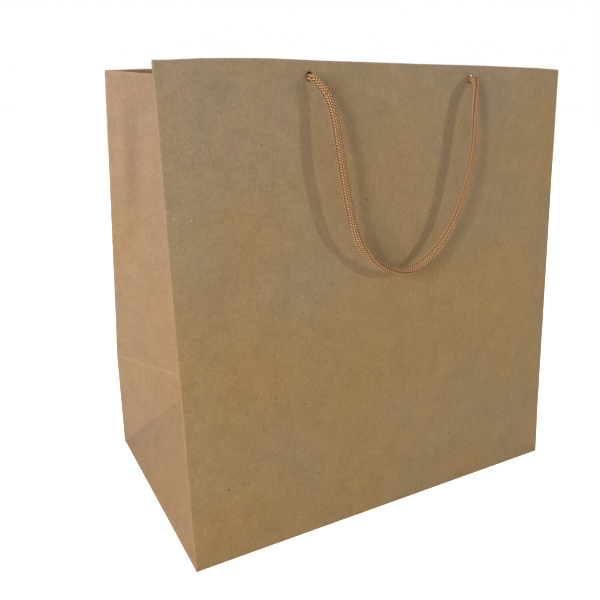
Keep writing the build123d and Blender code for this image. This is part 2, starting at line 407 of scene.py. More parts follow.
def kraft(name, mid, warm, cool, grain=1.0):
    """Uncoated kraft paper: cloudy fibre formation, long fibres, shives and specks."""
    t = Tree(name)
    flat = t.coords()
    along = t.coords(scale=(1, 1, 0.34))
    across = t.coords(scale=(0.34, 0.34, 1), rot=(0.15, 0.1, 0.3))
    wide = t.noise(flat, 11, 2, 0.5)
    hue = t.ramp(wide, [(0.36, warm), (0.5, mid), (0.64, cool)])
    cloud = t.noise(flat, 75, 3, 0.55)
    hue2 = t.mix(t.ramp(cloud, [(0.35, (0.0,)), (0.65, (0.35,))]), hue, mid)
    tone = t.ramp(cloud, [(0.3, (0.93,)), (0.7, (1.05,))])
    form = t.noise(flat, 330, 4, 0.6)
    tone2 = t.ramp(form, [(0.3, (1 - 0.08 * grain,)), (0.7, (1 + 0.07 * grain,))])
    fine = t.noise(along, 1500, 3, 0.7)
    tone3 = t.ramp(fine, [(0.3, (1 - 0.15 * grain,)), (0.7, (1 + 0.14 * grain,))])
    col = t.mix(1.0, hue2, tone, "MULTIPLY")
    col = t.mix(1.0, col, tone2, "MULTIPLY")
    col = t.mix(1.0, col, tone3, "MULTIPLY")
    # painted light: towards the rim the colour is multiplied cooler and greyer, for the cool light that falls on the
    # upper part of the bag
    place = t.new("ShaderNodeTexCoord")
    split = t.new("ShaderNodeSeparateXYZ")
    t.link(place.outputs["Object"], split.inputs[0])
    drift = t.math("ADD", split.outputs[2], t.math("MULTIPLY", t.math("SUBTRACT", wide, 0.5), 0.12))
    up = t.ramp(drift, [(0.13, (1.0, 1.0, 1.0, 1)), (0.30, (0.97, 1.03, 1.30, 1))])
    col = t.mix(1.0, col, up, "MULTIPLY")
    # single fibres: narrow contour lines of two stretched noises, kept to patches
    lines = []
    for vec, sc, light in ((along, 520, 1), (across, 430, 0)):
        n = t.noise(vec, sc, 1, 0.4, 0.6)
        band = t.ramp(n, [(0.488, (0,)), (0.5, (1,)), (0.512, (0,))])
        gate = t.ramp(t.noise(flat, 160, 2, 0.5), [(0.52, (0,)), (0.62, (1,))] if light else [(0.38, (1,)), (0.48, (0,))])
        m = t.math("MULTIPLY", band, gate)
        lines.append(m)
        m = t.math("MULTIPLY", m, 0.20 * grain)
        tint = srgb(226, 202, 160) if light else srgb(112, 84, 52)
        col = t.mix(m, col, tint)
    # dark shives and pale specks
    for scale, tint, cut, seed in ((150, srgb(88, 62, 40), 0.10, 0.93), (210, srgb(222, 202, 168), 0.09, 0.90)):
        v = t.new("ShaderNodeTexVoronoi", feature="F1")
        v.inputs["Scale"].default_value = scale
        v.inputs["Randomness"].default_value = 1.0
        vec = t.coords(scale=(1.0, 1.0, 0.75), rot=(0.4, seed, 0.2))
        t.link(vec, v.inputs["Vector"])
        near = t.ramp(v.outputs["Distance"], [(cut * 0.55, (1,)), (cut, (0,))])
        pick = t.new("ShaderNodeSeparateColor")
        t.link(v.outputs["Color"], pick.inputs[0])
        few = t.math("GREATER_THAN", pick.outputs[0], seed)
        m = t.math("MULTIPLY", t.math("MULTIPLY", near, few), 0.75)
        col = t.mix(m, col, tint)
    # painted highlight and rubbing: folds and the rolled rims are paler, in broken dashes, partly for rubbed fibres
    # and partly for the light that the rounded folds catch
    wear_and_highlight = t.attribute("wear_and_highlight")
    dash = t.ramp(t.noise(flat, 420, 3, 0.6), [(0.38, (0.25,)), (0.6, (1.0,))])
    m = t.math("MULTIPLY", t.math("MULTIPLY", wear_and_highlight, dash), 0.30)
    col = t.mix(m, col, srgb(214, 186, 146))
    t.link(col, t.bsdf.inputs["Base Color"])
    rough = t.ramp(form, [(0.3, (0.78,)), (0.7, (0.92,))])
    t.link(rough, t.bsdf.inputs["Roughness"])
    t.bsdf.inputs["Specular IOR Level"].default_value = 0.28
    t.bsdf.inputs["Sheen Weight"].default_value = 0.06
    t.bsdf.inputs["Sheen Roughness"].default_value = 0.5
    b = t.bump(fine, 0.30 * grain, 0.00007)
    b = t.bump(form, 0.28 * grain, 0.00016, b)
    b = t.bump(t.math("ADD", lines[0], lines[1]), 0.35 * grain, 0.00004, b)
    t.link(b, t.bsdf.inputs["Normal"])
    return t.mat


def board(name, base, dark, light):
    """Recycled grey board: speckled pulp."""
    t = Tree(name)
    flat = t.coords()
    col = t.ramp(t.noise(flat, 260, 4, 0.65), [(0.3, dark), (0.5, base), (0.7, light)])
    tone = t.ramp(t.noise(flat, 1100, 3, 0.7), [(0.3, (0.88,)), (0.7, (1.1,))])
    col = t.mix(1.0, col, tone, "MULTIPLY")
    v = t.new("ShaderNodeTexVoronoi", feature="F1")
    v.inputs["Scale"].default_value = 170
    t.link(flat, v.inputs["Vector"])
    m = t.ramp(v.outputs["Distance"], [(0.06, (0.7,)), (0.11, (0,))])
    col = t.mix(m, col, dark)
    t.link(col, t.bsdf.inputs["Base Color"])
    t.bsdf.inputs["Roughness"].default_value = 0.93
    t.bsdf.inputs["Specular IOR Level"].default_value = 0.25
    t.link(t.bump(t.noise(flat, 700, 4, 0.7), 0.4, 0.00015), t.bsdf.inputs["Normal"])
    return t.mat


def yarn(name, pale, mid, deep):
    """Braided cord: satin yarns with fine filaments along each strand, a painted highlight on each yarn's crest and
    painted shade where it dips under and between the yarns.
    """
    t = Tree(name)
    around = t.attribute("around")
    along = t.attribute("along")
    tone = t.attribute("tone")
    highlight_and_shade = t.attribute("highlight_and_shade")
    comb = t.new("ShaderNodeCombineXYZ")
    t.link(t.math("MULTIPLY", around, 9.0), comb.inputs[0])
    t.link(t.math("MULTIPLY", along, 0.55), comb.inputs[1])
    t.link(t.math("MULTIPLY", tone, 37.0), comb.inputs[2])
    fil = t.noise(comb.outputs[0], 1.0, 2, 0.6)
    # painted highlight and shade: pale on the crests of the over-passes, deep where the yarn runs under
    col = t.ramp(highlight_and_shade, [(0.0, deep), (0.22, deep), (0.58, mid), (0.97, pale)])
    col = t.mix(t.ramp(tone, [(0.0, (0.0,)), (1.0, (0.22,))]), col, mid)
    shade = t.ramp(fil, [(0.3, (0.80,)), (0.7, (1.14,))])
    col = t.mix(1.0, col, shade, "MULTIPLY")
    t.link(col, t.bsdf.inputs["Base Color"])
    t.link(t.ramp(fil, [(0.3, (0.36,)), (0.7, (0.52,))]), t.bsdf.inputs["Roughness"])
    t.bsdf.inputs["Specular IOR Level"].default_value = 0.55
    t.bsdf.inputs["Sheen Weight"].default_value = 0.06
    t.bsdf.inputs["Sheen Roughness"].default_value = 0.4
    t.link(t.bump(fil, 0.5, 0.00008), t.bsdf.inputs["Normal"])
    return t.mat


KRAFT = kraft("kraft_outside", srgb(162, 132, 88), srgb(165, 132, 83), srgb(160, 133, 94))
# painted light: the gussets get a lighter, cooler copy of the kraft, for the stronger light that falls on the sides
KRAFT_SIDE_PAINTED_LIGHTER = kraft("kraft_sides_painted_lighter", srgb(168, 137, 102), srgb(170, 137, 97), srgb(166, 138, 107))
CARD = board("card_stock", srgb(150, 128, 96), srgb(118, 96, 68), srgb(172, 150, 116))
GREY = board("grey_board", srgb(146, 136, 120), srgb(112, 104, 92), srgb(172, 163, 148))
# pale is a painted highlight and deep a painted shade on the cord's yarns
CORD = yarn("braided_cord", srgb(242, 208, 146), srgb(157, 88, 33), srgb(50, 18, 8))
# painted shade: a dark core inside the braid, so that the gaps between the yarns read dark
CORE_PAINTED_SHADE = board("cord_core_painted_shade", srgb(50, 20, 12), srgb(40, 16, 10), srgb(64, 28, 18))

# ---------------------------------------------------------------- cord handles
# The hanging loop's points: across, up the paper, outside of the panel's outer face, in metres.
ROUTE = [
    (-0.0486, 0.2814, 0.0096),
    (-0.0458, 0.2520, 0.0124),
    (-0.0408, 0.2226, 0.0123),
    (-0.0335, 0.1963, 0.0102),
    (-0.0111, 0.1756, 0.0076),
    (0.0168, 0.1725, 0.0076),
    (0.0412, 0.1952, 0.0090),
    (0.0529, 0.2213, 0.0108),
    (0.0599, 0.2500, 0.0116),
    (0.0607, 0.2790, 0.0092),
]
# through the hole, from the inside to the bend
IN_L = [(-0.0577, 0.2956, -0.0030), (-0.0577, 0.2956, 0.0012), (-0.0567, 0.2934, 0.0062)]
IN_R = [(0.0650, 0.2934, 0.0062), (0.0660, 0.2956, 0.0012), (0.0660, 0.2956, -0.0030)]


def line_of(points):
    """The points along a NURBS spline with these control points, in the row frame, metres."""
    data = bpy.data.curves.new("route", "CURVE")
    data.dimensions = "3D"
    data.resolution_u = 48
    sp = data.splines.new("NURBS")
    sp.points.add(len(points) - 1)
    for p, q in zip(sp.points, points):
        p.co = (q[0], q[1], q[2], 1.0)
    sp.order_u = 3
    sp.use_endpoint_u = True
    o = link(bpy.data.objects.new("route", data))
    bpy.context.view_layer.update()
    me = bpy.data.meshes.new_from_object(o)
    got = np.array([v.co[:] for v in me.vertices])
    bpy.data.objects.remove(o)
    bpy.data.curves.remove(data)
    bpy.data.meshes.remove(me)
    return got


def frames(line, outward):
    """Arc length, tangents and a steady sideways direction along a line."""
    seg = np.linalg.norm(np.diff(line, axis=0), axis=1)
    s = np.concatenate([[0], np.cumsum(seg)])
    tan = np.gradient(line, s, axis=0)
    tan /= np.linalg.norm(tan, axis=1, keepdims=True)
    n = outward - (outward @ tan[0]) * tan[0]
    if np.linalg.norm(n) < 0.3:
        n = np.cross(tan[0], np.array((1.0, 0.0, 0.0)))
    n /= np.linalg.norm(n)
    nor = [n]
    for k in range(1, len(line)):
        n = nor[-1] - (nor[-1] @ tan[k]) * tan[k]
        nor.append(n / np.linalg.norm(n))
    return s, tan, np.array(nor)


def braid(name, line, face_dir, twist, half_w, half_t, lay=0.0138, carriers=16, step=0.00030, sides=6, yarn_w=0.00054, yarn_t=0.00038, lift=0.00034, closed=True):
    """A flattened tubular braid along a line: yarns that pass over two and under two,
    round a flat core. twist is (share of the length, degrees) pairs, half_w and half_t may be too."""
    s, tan, nor = frames(line, face_dir)
    total = s[-1]
    n = int(total / step)
    ss = np.linspace(0, total, n + 1)
    at = np.stack([np.interp(ss, s, line[:, k]) for k in range(3)], -1)
    tg = np.stack([np.interp(ss, s, tan[:, k]) for k in range(3)], -1)
    tg /= np.linalg.norm(tg, axis=1, keepdims=True)
    fd = face_dir if face_dir.ndim > 1 else np.repeat(face_dir[None], n + 1, 0)
    # the flat face looks along face_dir where the line allows it, and never flips
    base = fd - np.sum(fd * tg, 1, keepdims=True) * tg
    size = np.linalg.norm(base, axis=1, keepdims=True)
    carry = np.stack([np.interp(ss, s, nor[:, k]) for k in range(3)], -1)
    k = np.clip((size - 0.25) / 0.35, 0, 1)
    base = base / np.maximum(size, 1e-6) * k + carry * (1 - k)
    base -= np.sum(base * tg, 1, keepdims=True) * tg
    base /= np.linalg.norm(base, axis=1, keepdims=True)
    ang = np.radians(np.interp(ss / total, [q[0] for q in twist], [q[1] for q in twist]))
    # soften the twist's corners
    w = max(3, int(0.012 / step) | 1)
    pad = np.pad(ang, w // 2, mode="edge")
    ang = np.convolve(pad, np.ones(w) / w, "valid")
    side = np.cross(tg, base)
    nz = base * np.cos(ang)[:, None] + side * np.sin(ang)[:, None]
    wd = np.cross(nz, tg)
    hw_ = np.interp(ss / total, [q[0] for q in half_w], [q[1] for q in half_w])
    ht_ = np.interp(ss / total, [q[0] for q in half_t], [q[1] for q in half_t])
    # even steps round the flattened section
    th = np.linspace(0, 2 * np.pi, 721)
    ex, ez = np.cos(th), np.sin(th)
    ex = np.sign(ex) * np.abs(ex) ** 0.8
    ez = np.sign(ez) * np.abs(ez) ** 0.8
    px, pz = ex * 2.35, ez * 0.95
    arc = np.concatenate([[0], np.cumsum(np.hypot(np.diff(px), np.diff(pz)))])
    arc /= arc[-1]
    V, F, around, along, tone, highlight_and_shade = [], [], [], [], [], []
    ring = np.pi / 6 + np.linspace(0, 2 * np.pi, sides, endpoint=False)
    half = carriers // 2
    for direction in (1, -1):
        for c in range(half):
            u = (c / half + direction * ss / lay + (0.0 if direction > 0 else 1e-4)) % 1.0
            over = direction * np.cos(2 * np.pi * (u * carriers - 0.5) / 4)
            cx = np.interp(u, arc, ex)
            cz = np.interp(u, arc, ez)
            mid = at + wd * (cx * (hw_ - yarn_t))[:, None] + nz * (cz * (ht_ - yarn_t))[:, None]
            # the section's own outward direction
            e = 1e-3
            x1, z1 = np.interp((u + e) % 1, arc, ex) * hw_, np.interp((u + e) % 1, arc, ez) * ht_
            x0, z0 = np.interp((u - e) % 1, arc, ex) * hw_, np.interp((u - e) % 1, arc, ez) * ht_
            tx, tz = x1 - x0, z1 - z0
            L = np.hypot(tx, tz)
            ox, oz = tz / L, -tx / L
            out = wd * ox[:, None] + nz * oz[:, None]
            mid = mid + out * (over * lift)[:, None]
            run = np.gradient(mid, axis=0)
            run /= np.linalg.norm(run, axis=1, keepdims=True)
            out = out - np.sum(out * run, 1, keepdims=True) * run
            out /= np.linalg.norm(out, axis=1, keepdims=True)
            flat = np.cross(out, run)
            n0 = len(V) and sum(len(q) for q in V)
            pts = mid[:, None, :] + flat[:, None, :] * (np.cos(ring) * yarn_w)[None, :, None] + out[:, None, :] * (np.sin(ring) * yarn_t)[None, :, None]
            V.append(pts.reshape(-1, 3))
            rows = len(ss)
            idx = n0 + np.arange(rows * sides).reshape(rows, sides)
            a = idx[:-1]
            b = idx[1:]
            F.append(np.stack([a, np.roll(a, -1, 1), np.roll(b, -1, 1), b], -1).reshape(-1, 4))
            around.append(np.tile(ring / (2 * np.pi), rows))
            along.append(np.repeat(ss * 1000, sides))
            t_ = 0.5 + 0.5 * math.sin(c * 2.4 + direction * 1.1)
            tone.append(np.full(rows * sides, t_))
            # painted highlight on the outward side of each over-pass, painted shade where the yarn runs under
            h = smooth((over[:, None] + 0.12) / 0.95) * (0.10 + 0.90 * smooth((np.sin(ring)[None, :] + 0.05) / 1.05))
            highlight_and_shade.append(h.reshape(-1))
    V = np.vstack(V)
    F = np.vstack(F)
    faces = [tuple(f) for f in F.tolist()]
    rows = len(ss)
    for q in range(carriers):
        s0 = q * rows * sides
        faces.append(tuple(range(s0 + sides - 1, s0 - 1, -1)))
        e0 = s0 + (rows - 1) * sides
        faces.append(tuple(range(e0, e0 + sides)))
    # flat core, dark as painted shade in the gaps between the yarns
    cs = 14
    cr_ = np.linspace(0, 2 * np.pi, cs, endpoint=False)
    sub = slice(0, None, 4)
    A, W, Z = at[sub], wd[sub], nz[sub]
    hw2, ht2 = hw_[sub] - 0.0008, ht_[sub] - 0.0007
    pts = A[:, None] + W[:, None] * (np.cos(cr_)[None, :, None] * hw2[:, None, None]) + Z[:, None] * (np.sin(cr_)[None, :, None] * ht2[:, None, None])
    c0 = len(V)
    V = np.vstack([V, pts.reshape(-1, 3)])
    idx = c0 + np.arange(len(A) * cs).reshape(len(A), cs)
    a, b = idx[:-1], idx[1:]
    core = np.stack([a, b, np.roll(b, -1, 1), np.roll(a, -1, 1)], -1).reshape(-1, 4)
    nf = len(faces)
    faces += [tuple(f) for f in core.tolist()]
    faces.append(tuple(idx[0].tolist()))
    faces.append(tuple(reversed(idx[-1].tolist())))
    me = bpy.data.meshes.new(name)
    me.from_pydata(V.tolist(), [], faces)
    pad = len(pts.reshape(-1, 3))
    for key, val in (("around", around), ("along", along), ("tone", tone), ("highlight_and_shade", highlight_and_shade)):
        arr = np.concatenate(val + [np.zeros(pad)]).astype(np.float32)
        me.attributes.new(key, "FLOAT", "POINT").data.foreach_set("value", arr)
    me.materials.append(CORD)
    me.materials.append(CORE_PAINTED_SHADE)
    mi = np.zeros(len(faces), int)
    mi[nf:] = 1
    me.polygons.foreach_set("material_index", mi)
    me.polygons.foreach_set("use_smooth", [True] * len(faces))
    me.update()
    o = link(bpy.data.objects.new(name, me))
    return o, at, float(total)


def to_row(points, place, mirrored=False):
    pts = points
    if mirrored:
        k = (HOLE_X[0] + HOLE_X[1]) * MM
        pts = [(k - p[0], p[1], p[2]) for p in pts][::-1]
    out = []
    for x, v, s in pts:
        # the panel's own bulges are small here; the cord keeps to the panel's plain frame
        out.append(tuple(float(c) * MM for c in place(x * 1000, v * 1000, s * 1000)))
    return out


def plain_front(x, v, s):
    return (x, -HD + v * SA - s * CA, v * CA + s * SA)


def plain_back(x, v, s):
    v = v - CREASE
    return (x, HD - v * SB + s * CB, CREASE + v * CB + s * SB)


TWIST = [(0, 0), (0.05, 0), (0.30, -4), (0.37, 40), (0.415, 84), (0.455, 88), (0.53, 128), (0.60, 168), (0.66, 180), (0.76, 184), (0.84, 206), (0.92, 232), (0.97, 240), (1, 240)]
HALF_W = [(0, 0.0019), (0.02, 0.0020), (0.06, 0.00265), (0.96, 0.00265), (0.985, 0.0020), (1, 0.0019)]
HALF_T = [(0, 0.0015), (0.02, 0.0015), (0.06, 0.0014), (0.96, 0.0014), (0.985, 0.0015), (1, 0.0015)]

for word, place, mirrored, outv in (
    ("front", plain_front, False, np.array((0.0, -CA, SA))),
    ("back", plain_back, True, np.array((0.0, CB, SB))),
):
    control = to_row(IN_L + ROUTE + IN_R, place, mirrored)
    line = line_of(control)
    tw = [(1 - a, b) for a, b in TWIST][::-1] if mirrored else TWIST
    o, path, length = braid(f"{word}_handle_braid", line, outv, tw, HALF_W, HALF_T)
    hinge = place(0, HOLE_V, 5.0)
    print(f"{word} handle cord: {length * 1000:.1f} mm from knot to knot")
    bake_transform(o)
    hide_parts(f"{word}_handle_cord")


# ---------------------------------------------------------------- knots
# An overhand knot, its points given across, up and inwards from the hole, mm.
KNOT = [
    (0.0, 0.0, 0.9), (0.0, 0.0, 3.2), (1.6, 0.4, 5.4), (4.3, -0.6, 7.4), (4.6, -3.6, 9.6),
    (1.6, -5.0, 10.6), (-1.6, -3.4, 9.0), (-2.6, -0.4, 5.6), (-0.6, 2.9, 3.6), (2.6, 3.4, 5.2),
    (3.2, 1.4, 8.8), (0.4, -0.9, 10.4), (-2.6, -2.6, 8.6), (-2.7, -6.0, 6.6), (-1.2, -9.8, 5.6), (-0.7, -13.6, 5.5), (-0.9, -17.0, 5.9),
]


def knot(name, x, place, inward, hand):
    pts = []
    for a, b, c in KNOT:
        p = place(x + a * hand, HOLE_V + b, -(1.5 + c * 0.92))
        pts.append(tuple(float(q) * MM for q in p))
    line = line_of(pts)
    o, path, length = braid(
        name, line, np.array(inward, float), [(0, 0), (1, 150 * hand)],
        [(0, 0.0019), (0.1, 0.0022), (0.86, 0.0022), (0.95, 0.0026), (1, 0.0031)],
        [(0, 0.0015), (0.1, 0.0014), (0.86, 0.0014), (1, 0.0013)],
        lay=0.0118, step=0.0005, yarn_w=0.00045, yarn_t=0.00032, lift=0.00026,
    )
    return o, length


for word, place, inward in (("front", plain_front, (0, 1, 0)), ("back", plain_back, (0, -1, 0))):
    for x, side in zip(HOLE_X, ("left", "right")):
        o, length = knot(f"{word}_knot_{side}_braid", x, place, inward, 1 if side == "left" else -1)
        print(f"{o.name}: {length * 1000:.0f} mm of cord")
        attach(o, word)
        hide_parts(f"{word}_handle_knot_{side}")


# ---------------------------------------------------------------- front panel and rim
STEP = 2.6


def panel_columns():
    u = spaced(-(HW - R), HW - R, STEP)
    roll = np.linspace(0, 1, 6)[1:]
    return np.concatenate([-(HW - R) - roll[::-1], u, (HW - R) + roll])


# a pale band along a fold, partly rubbed fibres and partly painted highlight where the rounded fold catches light
def fold_wear_and_highlight(dist):
    return np.exp(-((np.asarray(dist) / 0.9) ** 2))


cols = panel_columns()
rows = np.concatenate([[-1.0, -0.66, -0.33], spaced(0.6, H - HEM_D / 2, STEP)])
holes = [(x, HOLE_V, HOLE_R) for x in HOLE_X]
par, F = grid(cols, rows, holes)
a, b = par[:, 0], par[:, 1]
x, s = rolled(a, turn_front(np.maximum(b, 0)))
low = b < 0
v = np.where(low, 0.6 - 0.6 * np.sin(-b * np.pi / 2), b)
s = s + np.where(low, -0.6 + 0.6 * np.cos(-b * np.pi / 2), 0)
# the paper dips a little into each hole, round the cord
for hx in HOLE_X:
    d = np.hypot(x - hx, v - HOLE_V)
    s = s - 0.45 * np.exp(-(((d - HOLE_R) / 0.9) ** 2)) * (d > 2.2) * (d < 8)
P = front(x, v, s)
edge = np.minimum(np.abs(np.abs(x) - 149.8), np.minimum(H - v, 60 + 0 * v))
wear_and_highlight = fold_wear_and_highlight(edge * 1.3) * 0.45
n0 = len(P)
P, F = thick(P, F)
P[:, 2] = np.maximum(P[:, 2], 0.01)
front_panel = piece("front_panel_paper", P, F, KRAFT, np.concatenate([wear_and_highlight, wear_and_highlight * 0.3]))
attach(front_panel, "front")
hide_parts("front_panel")


def hem_piece(name, tops, ups, outs, down, depth, mat, wear_and_highlight_top=1.0):
    """A turned-in rim. tops: points of the outer skin, ups and outs their directions up the paper and
    outward, down: rows (k, n, 3) of the outer skin under it, with their outward directions."""
    r = depth / 2
    skin, wr = [], []
    for th in np.linspace(0, np.pi, 8):
        skin.append(tops + ups * (r * math.sin(th)) - outs * (r - r * math.cos(th)))
        # painted highlight and rubbing: the rolled top is marked paler, most at its crest
        wr.append(np.full(len(tops), wear_and_highlight_top * math.sin(th) ** 0.5 if th > 0 else 0.0))
    for p, o in down:
        skin.append(p - o * depth)
        wr.append(np.full(len(tops), 0.0))
    k, n = len(skin), len(tops)
    P = np.vstack(skin)
    F = []
    for i in range(k - 1):
        for j in range(n - 1):
            q = i * n + j
            F.append((q, q + 1, q + n + 1, q + n))
    return P, F, np.concatenate(wr)


def panel_hem(name, place, outv, upv, node, body, flip):
    xs = spaced(-149.0, 149.0, STEP)
    top = place(xs, np.full(len(xs), H - HEM_D / 2), 0)
    outs = np.repeat(np.array(outv)[None], len(xs), 0)
    ups = np.repeat(np.array(upv)[None], len(xs), 0)
    vs = np.concatenate([[H - 2.0, H - 3.5], np.linspace(H - 5.5, H - HEM, 9)])
    # rows and columns with holes: a grid in (x, v) on the inner skin, joined to the roll
    xs2 = xs
    vv = np.concatenate([np.linspace(H - HEM, H - 14, 8), np.linspace(H - 13, H - HEM_D / 2, 8)])
    par, F2 = grid(xs2, vv, [(hx, HOLE_V, HOLE_R) for hx in HOLE_X], flip=not flip)
    inner = place(par[:, 0], par[:, 1], -HEM_D)
    r = HEM_D / 2
    skin, wr = [], []
    ths = np.linspace(0, np.pi, 8)[:-1]
    for th in ths:
        skin.append(top + ups * (r * math.sin(th)) - outs * (r - r * math.cos(th)))
        # painted highlight and rubbing: the rolled top is marked paler, most at its crest
        wr.append(np.full(len(xs), math.sin(th) ** 0.5 if th > 0 else 0.6))
    n = len(xs)
    base = len(inner)
    P = np.vstack([inner] + skin)
    F3 = []
    topi = [int(np.where((np.abs(par[:, 0] - q) < 1e-6) & (np.abs(par[:, 1] - vv[-1]) < 1e-6))[0][0]) for q in xs]
    for i in range(len(ths)):
        for j in range(n - 1):
            lo0, lo1 = base + i * n + j, base + i * n + j + 1
            if i + 1 < len(ths):
                hi0, hi1 = lo0 + n, lo1 + n
            else:
                hi0, hi1 = topi[j], topi[j + 1]
            f = (lo0, lo1, hi1, hi0)
            F3.append(f if not flip else tuple(reversed(f)))
    F = list(F2) + F3
    wear_and_highlight = np.concatenate([np.zeros(base)] + wr)
    P, F = thick(P, F)
    o = piece(name, P, F, KRAFT, np.concatenate([wear_and_highlight, wear_and_highlight * 0]))
    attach(o, body)
    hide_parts(node)
    return o


def card_piece(name, place, node, body, flip):
    xs = spaced(-146.6, 146.6, STEP * 2)
    vs = np.concatenate([np.linspace(269, 289, 5), np.linspace(290.5, 301.6, 5)])
    par, F = grid(xs, vs, [(hx, HOLE_V, HOLE_R) for hx in HOLE_X], flip=flip)
    P = place(par[:, 0], par[:, 1], -0.36)
    P, F = thick(P, F, 0.78)
    o = piece(name, P, F, CARD, np.zeros(len(P)))
    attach(o, body)
    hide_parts(node)
    return o


front_hem = panel_hem("front_rim_hem_paper", front, (0, -CA, SA), (0, SA, CA), "front_rim_hem", "front", False)
front_card = card_piece("front_rim_card_strip", front, "front_rim_card", "front", False)

# ---------------------------------------------------------------- back panel
rows = spaced(CREASE + 0.5, H - HEM_D / 2, STEP)
par, F = grid(cols, rows, holes, flip=True)
a, b = par[:, 0], par[:, 1]
x, s = rolled(a, turn_back(b))
v = b
for hx in HOLE_X:
    d = np.hypot(x - hx, v - HOLE_V)
    s = s - 0.45 * np.exp(-(((d - HOLE_R) / 0.9) ** 2)) * (d > 2.2) * (d < 8)
P = back(x, v, s)
edge = np.minimum(np.abs(np.abs(x) - 149.8), np.minimum(H - v, v - CREASE))
wear_and_highlight = fold_wear_and_highlight(edge)
P, F = thick(P, F)
back_panel = piece("back_panel_upper_paper", P, F, KRAFT, np.concatenate([wear_and_highlight, wear_and_highlight * 0.3]))
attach(back_panel, "back")
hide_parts("back_panel_upper")
back_hem = panel_hem("back_rim_hem_paper", back, (0, CB, SB), (0, -SB, CB), "back_rim_hem", "back", True)
back_card = card_piece("back_rim_card_strip", back, "back_rim_card", "back", True)

xs = spaced(134.0, 147.0, 3.0, (0.0, 0.6))
par, F = grid(xs, spaced(81.2, 263.0, STEP * 2, (0.0, 0.6, 1.6)), flip=True)
P = back(par[:, 0], par[:, 1], -0.36)
P, F = thick(P, F, 0.28)
o = piece("side_seam_tab_upper_paper", P, F, KRAFT, np.zeros(len(P)))
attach(o, "back")
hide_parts("side_seam_tab_upper")

par, F = grid(cols, np.concatenate([[-1.0, -0.66, -0.33], spaced(0.6, CREASE - 0.05, STEP)]), flip=True)
a, b = par[:, 0], par[:, 1]
x, s = rolled(a, turn_back(b))
low = b < 0
z = np.where(low, 0.6 - 0.6 * np.sin(-b * np.pi / 2), b)
s = s + np.where(low, -0.6 + 0.6 * np.cos(-b * np.pi / 2), 0)
P = low_back(x, z, s)
wear_and_highlight = fold_wear_and_highlight(np.minimum(np.abs(np.abs(x) - 149.8), np.minimum(CREASE - z, 50)))
P, F = thick(P, F)
P[:, 2] = np.maximum(P[:, 2], 0.01)
o = piece("back_panel_lower_paper", P, F, KRAFT, np.concatenate([wear_and_highlight, wear_and_highlight * 0.3]))
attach(o, "base")
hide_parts("back_panel_lower")

par, F = grid(xs, spaced(2.2, 78.0, STEP * 2, (0.0, 0.6)), flip=True)
P = low_back(par[:, 0], par[:, 1], -0.36)
P, F = thick(P, F, 0.28)
o = piece("side_seam_tab_lower_paper", P, F, KRAFT, np.zeros(len(P)))
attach(o, "base")
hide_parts("side_seam_tab_lower")


# ---------------------------------------------------------------- gussets
def world(side, p):
    """Gusset coordinates (inward, y from the front, z) to the row frame."""
    p = np.asarray(p, float)
    return np.stack([side * (HW - p[..., 0]), p[..., 1] - HD, p[..., 2]], -1)


def fold_front(side, v):
    """The end of the roll at the fold between the front panel and a gusset."""
    v = np.asarray(v, float)
    x, s = rolled(np.full(v.shape, side * (HW - R + 1.0)), turn_front(v))
    return front(x, v, s)


def fold_back(side, v):
    v = np.asarray(v, float)
    x, s = rolled(np.full(v.shape, side * (HW - R + 1.0)), turn_back(v))
    return np.where((v >= CREASE)[..., None], back(x, v, s), low_back(x, v, s))


def centre(side, v):
    """The gusset's centre crease at the row that reaches v up the front."""
    v = np.asarray(v, float)[..., None]
    lo = GA + (GP - GA) * (v / 81.0)
    hi = GP + (GT - GP) * ((v - 81.0) / (H - 81.0))
    return world(side, np.where(v <= 81.0, lo, hi))


def sheet_grid(A, B, us):
    """Ruled points between two rows of points: (rows, columns, 3)."""
    return A[:, None, :] + (B - A)[:, None, :] * us[None, :, None]


def grid_faces(nr, nc, flip):
    F = []
    for i in range(nr - 1):
        for j in range(nc - 1):
            q = i * nc + j
            f = (q, q + 1, q + nc + 1, q + nc)
            F.append(tuple(reversed(f)) if flip else f)
    return F


def shares(width, lead=(0.0, 0.5, 1.2, 2.4, 4.6)):
    return spaced(0.0, width, STEP, lead) / width


def gusset_normals(G):
    du = np.gradient(G, axis=1)
    dv = np.gradient(G, axis=0)
    n = np.cross(du, dv)
    return n / np.maximum(np.linalg.norm(n, axis=2, keepdims=True), 1e-9)


